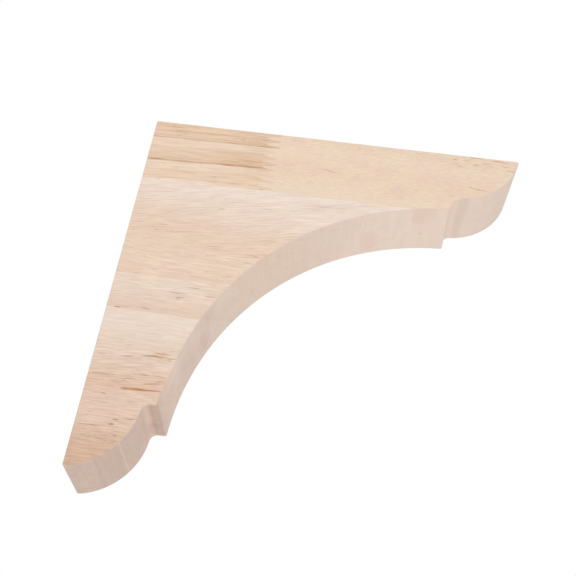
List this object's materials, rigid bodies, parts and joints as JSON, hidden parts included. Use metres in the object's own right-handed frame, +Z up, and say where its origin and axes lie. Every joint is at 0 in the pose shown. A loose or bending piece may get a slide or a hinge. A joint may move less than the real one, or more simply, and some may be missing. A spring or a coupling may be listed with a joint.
{
  "type": "wooden corbel bracket",
  "caption": "L-shaped wooden corbel bracket with two square back edges, a hollow quarter-circle curve between the legs and a stepped, rounded nose at each tip.",
  "frame": {"origin": "middle of the wall face, the square back edge of the wall leg", "axes": "+X leaves the wall along the shelf leg, +Y runs through the board's thickness, +Z is up towards the shelf face"},
  "size_m": [0.2, 0.039, 0.2],
  "materials": {
    "tan_wood": "unfinished, planed and sanded, grain along the shelf leg",
    "yellow_cream_wood": "unfinished, planed and sanded, grain along the shelf leg",
    "pink_cream_wood": "unfinished, planed and sanded, grain along the shelf leg"
  },
  "bodies": {
    "root": {"top_stave_wall_end": "tan_wood", "top_stave_front_end": "yellow_cream_wood", "lower_board": "pink_cream_wood"}
  },
  "joints": []
}
